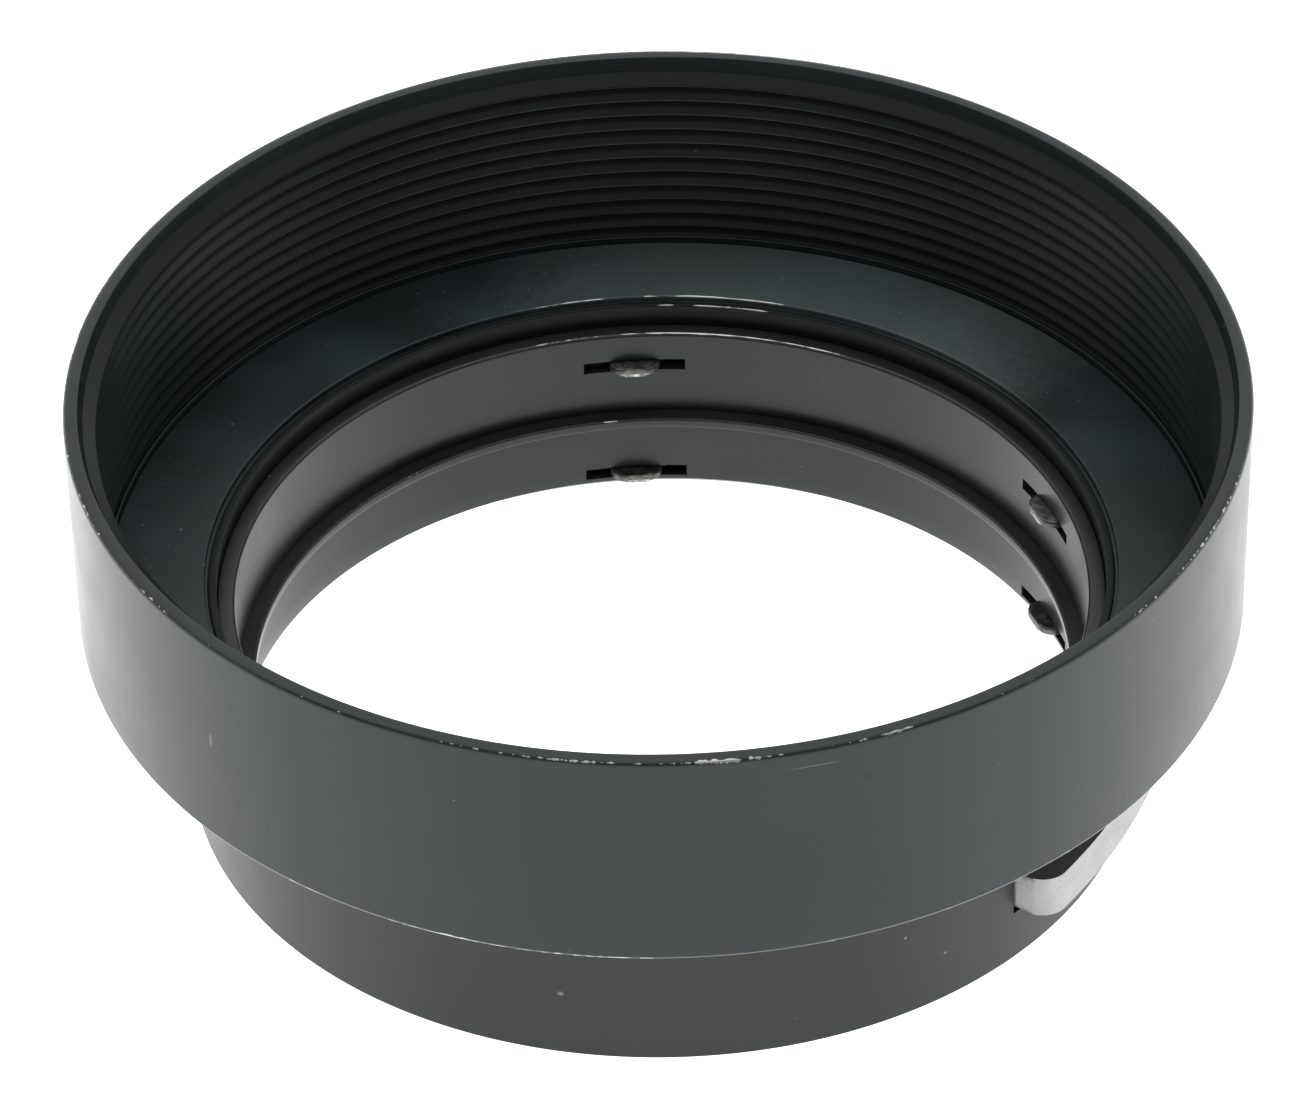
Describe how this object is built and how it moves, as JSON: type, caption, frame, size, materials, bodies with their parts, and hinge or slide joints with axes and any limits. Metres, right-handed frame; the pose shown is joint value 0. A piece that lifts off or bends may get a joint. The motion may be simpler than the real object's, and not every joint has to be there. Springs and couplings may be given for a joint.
{
  "type": "lens hood",
  "caption": "Stepped round lens hood with a light-trapping ribbed mouth, a reversible clip-on collar and side release bars that draw in small catches.",
  "frame": {"origin": "centre of the rear face, on the optical axis", "axes": "+Z along the optical axis, from the rear face out of the ribbed front; +X from the axis to the right release bar; +Y completes the right-handed frame"},
  "size_m": [0.058, 0.058, 0.0226],
  "materials": {
    "anodised_shell": "satin black anodised",
    "anodised_baffle": "matt black anodised",
    "anodised_sleeve": "satin black anodised",
    "anodised_collar": "satin black anodised",
    "satin_bar": "satin",
    "blackened_strip": "satin blackened",
    "bright_steel": "plain",
    "spring_wire": "plain drawn"
  },
  "bodies": {
    "barrel": {"front_shell": "anodised_shell", "floor_plate": "anodised_baffle", "lock_ring": "anodised_baffle", "rear_sleeve": "anodised_sleeve", "lens_collar": "anodised_collar", "stop_ring": "anodised_collar", "closing_ring": "anodised_sleeve", "right_near_pin": "bright_steel", "right_far_pin": "bright_steel", "left_near_pin": "bright_steel", "left_far_pin": "bright_steel"},
    "right_bar": {"right_release_bar": "satin_bar"},
    "right_near_lever": {"right_near_rocker": "blackened_strip", "right_near_spring": "spring_wire"},
    "right_far_lever": {"right_far_rocker": "blackened_strip", "right_far_spring": "spring_wire"},
    "left_bar": {"left_release_bar": "satin_bar"},
    "left_near_lever": {"left_near_rocker": "blackened_strip", "left_near_spring": "spring_wire"},
    "left_far_lever": {"left_far_rocker": "blackened_strip", "left_far_spring": "spring_wire"}
  },
  "joints": [
    {"name": "right_bar_press", "type": "slide", "parent": "barrel", "child": "right_bar", "axis": [-1, 0, 0], "range_m": [0, 0.00078], "stiffness_N_per_m": 1500, "springref_m": -0.0007},
    {"name": "right_near_rock", "type": "hinge", "parent": "barrel", "child": "right_near_lever", "pos_m": [0.01897, 0.01178, 0.005], "axis": [0, 0, 1], "range_deg": [-7.7, 0]},
    {"name": "right_far_rock", "type": "hinge", "parent": "barrel", "child": "right_far_lever", "pos_m": [0.01701, -0.01447, 0.005], "axis": [0, 0, 1], "range_deg": [0, 4.91]},
    {"name": "left_bar_press", "type": "slide", "parent": "barrel", "child": "left_bar", "axis": [1, 0, 0], "range_m": [0, 0.00078], "stiffness_N_per_m": 1500, "springref_m": -0.0007},
    {"name": "left_near_rock", "type": "hinge", "parent": "barrel", "child": "left_near_lever", "pos_m": [-0.01897, -0.01178, 0.005], "axis": [0, 0, 1], "range_deg": [-7.7, 0]},
    {"name": "left_far_rock", "type": "hinge", "parent": "barrel", "child": "left_far_lever", "pos_m": [-0.01701, 0.01447, 0.005], "axis": [0, 0, 1], "range_deg": [0, 4.91]}
  ],
  "couplings": [
    {"joint": "right_near_rock", "follows": "right_bar_press", "rad_per_m": -172.33},
    {"joint": "right_far_rock", "follows": "right_bar_press", "rad_per_m": 109.76},
    {"joint": "left_near_rock", "follows": "left_bar_press", "rad_per_m": -172.33},
    {"joint": "left_far_rock", "follows": "left_bar_press", "rad_per_m": 109.76}
  ]
}
